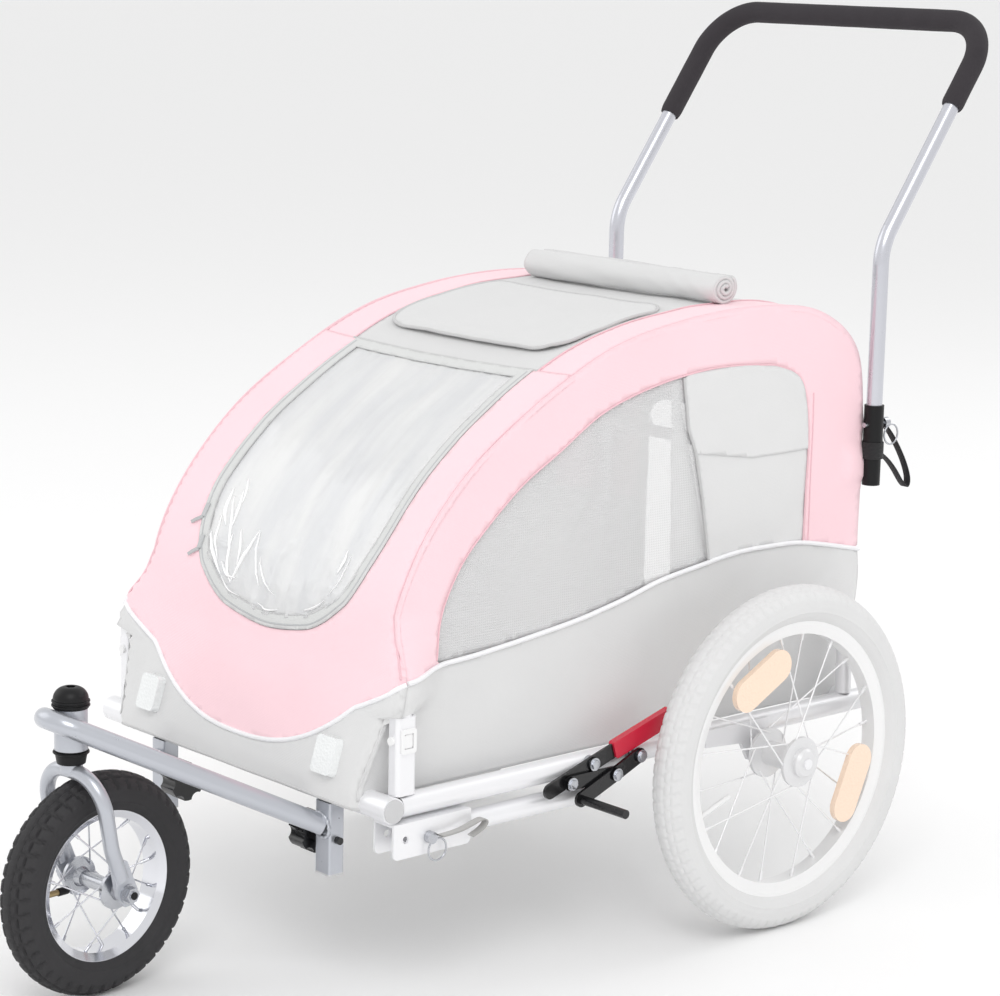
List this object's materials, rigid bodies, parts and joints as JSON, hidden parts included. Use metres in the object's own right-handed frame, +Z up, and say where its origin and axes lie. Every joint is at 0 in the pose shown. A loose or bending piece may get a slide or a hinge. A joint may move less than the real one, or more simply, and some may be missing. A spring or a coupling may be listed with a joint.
{
  "type": "pet stroller",
  "caption": "Pet stroller with a fabric cabin on a tube frame, spoked rear wheels, a swivelling front wheel on a clamped arm, a push handle, parking brakes and a stowed tow arm.",
  "frame": {"origin": "on the ground, at the middle of the stroller's length and width", "axes": "+Z up; the stroller faces -Y, its push handle is towards +Y, and its own left is +X"},
  "size_m": [0.68, 1.2657, 1.0355],
  "materials": {
    "frame_paint": "satin powder coat, pale silver",
    "white_plastic": "moulded, satin",
    "dark_plastic": "moulded, satin",
    "pink_fabric": "coated woven polyester, soft sheen",
    "grey_fabric": "coated woven polyester, soft sheen",
    "window_mesh": "fine knitted mesh",
    "clear_reflector": "prismatic, glossy",
    "amber_reflector": "prismatic, glossy",
    "arm_paint": "silver-grey lacquer, semi-gloss",
    "front_tyre": "moulded tread, matte",
    "pale_tyre": "moulded, matte",
    "chrome": "polished",
    "pale_rim": "satin",
    "zinc": "bright zinc plate",
    "handle_tube": "silver lacquer",
    "foam": "closed-cell foam, matte",
    "webbing": "flat woven webbing, black",
    "grey_webbing": "flat woven webbing",
    "black_gloss": "moulded, glossy",
    "black_paint": "gloss black",
    "red_grip": "dipped vinyl, glossy"
  },
  "bodies": {
    "chassis": {"arm_hoop": "arm_paint", "arm_legs": "arm_paint", "axle_brackets": "frame_paint", "brake_mounts": "zinc", "cross_tubes": "frame_paint", "floor_panel": "grey_fabric", "front_cover": "pink_fabric", "front_posts": "frame_paint", "front_reflectors": "clear_reflector", "handle_grip": "foam", "handle_sleeves": "dark_plastic", "handle_tube": "handle_tube", "head_caps": "dark_plastic", "head_tube": "arm_paint", "left_handle_tether": "webbing", "post_clasps": "white_plastic", "rear_cover": "pink_fabric", "right_handle_tether": "webbing", "rolled_cover": "pink_fabric", "roof_cover": "grey_fabric", "roof_vent": "grey_fabric", "side_fabric": "pink_fabric", "side_hoops": "frame_paint", "side_rails": "frame_paint", "side_windows": "window_mesh", "tow_channel": "frame_paint", "tow_pin_tether": "grey_webbing", "tube_end_caps": "white_plastic"},
    "window_flap": {"window_flap_border": "grey_fabric", "window_flap_mesh": "window_mesh"},
    "fork": {"fork": "arm_paint", "front_axle": "zinc"},
    "front_wheel": {"front_tyre": "front_tyre", "front_rim": "chrome", "front_spokes": "chrome", "front_hub": "zinc"},
    "tow_arm": {"tow_arm": "frame_paint"},
    "tow_pin": {"tow_pin": "zinc"},
    "left_wheel": {"left_tyre": "pale_tyre", "left_rim": "pale_rim", "left_spokes": "pale_rim", "left_hub": "pale_rim", "left_reflectors": "amber_reflector"},
    "left_knob": {"left_star_knob": "black_gloss"},
    "left_lever": {"left_brake_lever": "black_paint", "left_brake_grip": "red_grip"},
    "left_link": {"left_brake_link": "black_paint"},
    "left_shoe": {"left_brake_arm": "black_paint"},
    "left_handle_pin": {"left_handle_pin": "zinc"},
    "right_wheel": {"right_tyre": "pale_tyre", "right_rim": "pale_rim", "right_spokes": "pale_rim", "right_hub": "pale_rim", "right_reflectors": "amber_reflector"},
    "right_knob": {"right_star_knob": "black_gloss"},
    "right_lever": {"right_brake_lever": "black_paint", "right_brake_grip": "red_grip"},
    "right_link": {"right_brake_link": "black_paint"},
    "right_shoe": {"right_brake_arm": "black_paint"},
    "right_handle_pin": {"right_handle_pin": "zinc"}
  },
  "joints": [
    {"name": "window_flap_open", "type": "hinge", "parent": "chassis", "child": "window_flap", "pos_m": [0, -0.05023, 0.65152], "axis": [-1, 0, 0], "range_deg": [0, 100]},
    {"name": "front_swivel", "type": "hinge", "parent": "chassis", "child": "fork", "pos_m": [0, -0.546, 0.29], "axis": [0, 0, 1], "continuous": true},
    {"name": "front_wheel_spin", "type": "hinge", "parent": "fork", "child": "front_wheel", "pos_m": [-0.00304, -0.51264, 0.121], "axis": [0.9959, 0.0906, 0], "continuous": true},
    {"name": "left_wheel_spin", "type": "hinge", "parent": "chassis", "child": "left_wheel", "pos_m": [0.301, 0.216, 0.2], "axis": [1, 0, 0], "continuous": true},
    {"name": "left_knob_turn", "type": "hinge", "parent": "chassis", "child": "left_knob", "pos_m": [0.118, -0.322, 0.172], "axis": [1, 0, 0], "continuous": true},
    {"name": "left_brake", "type": "hinge", "parent": "chassis", "child": "left_lever", "pos_m": [0.262, -0.048, 0.23], "axis": [1, 0, 0], "range_deg": [0, 70.65]},
    {"name": "left_shoe_turn", "type": "hinge", "parent": "chassis", "child": "left_shoe", "pos_m": [0.269, 0.016, 0.23], "axis": [1, 0, 0], "range_deg": [0, 70.65]},
    {"name": "left_link_turn", "type": "hinge", "parent": "left_lever", "child": "left_link", "pos_m": [0.2657, -0.084, 0.215], "axis": [1, 0, 0], "range_deg": [-70.65, 0]},
    {"name": "left_handle_pin_pull", "type": "slide", "parent": "chassis", "child": "left_handle_pin", "axis": [0, 1, 0], "range_m": [0, 0.04], "deforming": ["left_handle_tether"]},
    {"name": "right_wheel_spin", "type": "hinge", "parent": "chassis", "child": "right_wheel", "pos_m": [-0.301, 0.216, 0.2], "axis": [1, 0, 0], "continuous": true},
    {"name": "right_knob_turn", "type": "hinge", "parent": "chassis", "child": "right_knob", "pos_m": [-0.118, -0.322, 0.172], "axis": [1, 0, 0], "continuous": true},
    {"name": "right_brake", "type": "hinge", "parent": "chassis", "child": "right_lever", "pos_m": [-0.262, -0.048, 0.23], "axis": [1, 0, 0], "range_deg": [0, 70.65]},
    {"name": "right_shoe_turn", "type": "hinge", "parent": "chassis", "child": "right_shoe", "pos_m": [-0.269, 0.016, 0.23], "axis": [1, 0, 0], "range_deg": [0, 70.65]},
    {"name": "right_link_turn", "type": "hinge", "parent": "right_lever", "child": "right_link", "pos_m": [-0.2657, -0.084, 0.215], "axis": [1, 0, 0], "range_deg": [-70.65, 0]},
    {"name": "right_handle_pin_pull", "type": "slide", "parent": "chassis", "child": "right_handle_pin", "axis": [0, 1, 0], "range_m": [0, 0.04], "deforming": ["right_handle_tether"]},
    {"name": "tow_pin_pull", "type": "slide", "parent": "chassis", "child": "tow_pin", "axis": [1, 0, 0], "range_m": [0, 0.04], "deforming": ["tow_pin_tether"]},
    {"name": "tow_arm_swing", "type": "hinge", "parent": "chassis", "child": "tow_arm", "pos_m": [0.243, -0.278, 0.192], "axis": [-1, 0, 0], "range_deg": [0, 22]}
  ],
  "couplings": [
    {"joint": "left_shoe_turn", "follows": "left_brake", "ratio": 1},
    {"joint": "left_link_turn", "follows": "left_brake", "ratio": -1},
    {"joint": "right_shoe_turn", "follows": "right_brake", "ratio": 1},
    {"joint": "right_link_turn", "follows": "right_brake", "ratio": -1}
  ]
}
